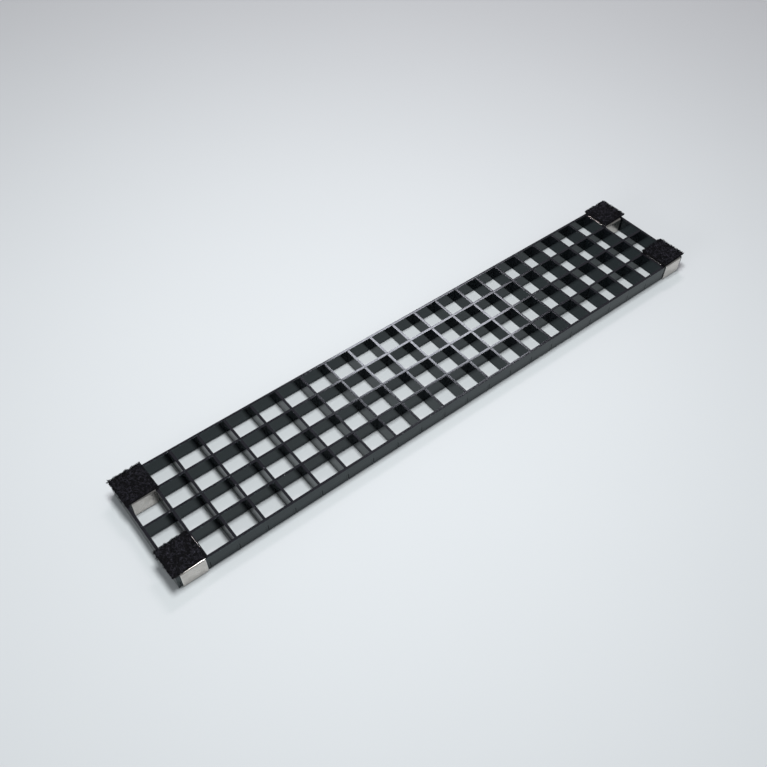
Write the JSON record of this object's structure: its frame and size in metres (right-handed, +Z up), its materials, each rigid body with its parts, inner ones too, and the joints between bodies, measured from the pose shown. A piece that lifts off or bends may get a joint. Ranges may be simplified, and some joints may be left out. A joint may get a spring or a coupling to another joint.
{
  "type": "egg-crate light louver",
  "caption": "Black egg-crate louver strip of interlocking plastic blades, with sheet-metal corner clips that carry hook-and-loop fastener pads for a strip lamp.",
  "frame": {"origin": "bottom centre of the strip, on the surface that it lies on", "axes": "+X along the strip, +Y across it, +Z up through the cells, out of the pads' faces"},
  "size_m": [0.6018, 0.1126, 0.0204],
  "materials": {
    "blade_plastic": "gloss",
    "clip_steel": "satin",
    "adhesive_film": "matte",
    "loop_pile": "matte"
  },
  "bodies": {
    "root": {"long_blade_1": "blade_plastic", "long_blade_2": "blade_plastic", "long_blade_3": "blade_plastic", "long_blade_4": "blade_plastic", "long_blade_5": "blade_plastic", "cross_blade_01": "blade_plastic", "cross_blade_02": "blade_plastic", "cross_blade_03": "blade_plastic", "cross_blade_04": "blade_plastic", "cross_blade_05": "blade_plastic", "cross_blade_06": "blade_plastic", "cross_blade_07": "blade_plastic", "cross_blade_08": "blade_plastic", "cross_blade_09": "blade_plastic", "cross_blade_10": "blade_plastic", "cross_blade_11": "blade_plastic", "cross_blade_12": "blade_plastic", "cross_blade_13": "blade_plastic", "cross_blade_14": "blade_plastic", "cross_blade_15": "blade_plastic", "cross_blade_16": "blade_plastic", "cross_blade_17": "blade_plastic", "cross_blade_18": "blade_plastic", "cross_blade_19": "blade_plastic", "cross_blade_20": "blade_plastic", "cross_blade_21": "blade_plastic", "cross_blade_22": "blade_plastic", "cross_blade_23": "blade_plastic", "clip_near_left": "clip_steel", "clip_near_right": "clip_steel", "clip_far_right": "clip_steel", "clip_far_left": "clip_steel", "adhesive_film_near_left": "adhesive_film", "adhesive_film_near_right": "adhesive_film", "adhesive_film_far_right": "adhesive_film", "adhesive_film_far_left": "adhesive_film", "loop_pad_near_left": "loop_pile", "loop_pad_near_right": "loop_pile", "loop_pad_far_right": "loop_pile", "loop_pad_far_left": "loop_pile"}
  },
  "joints": []
}
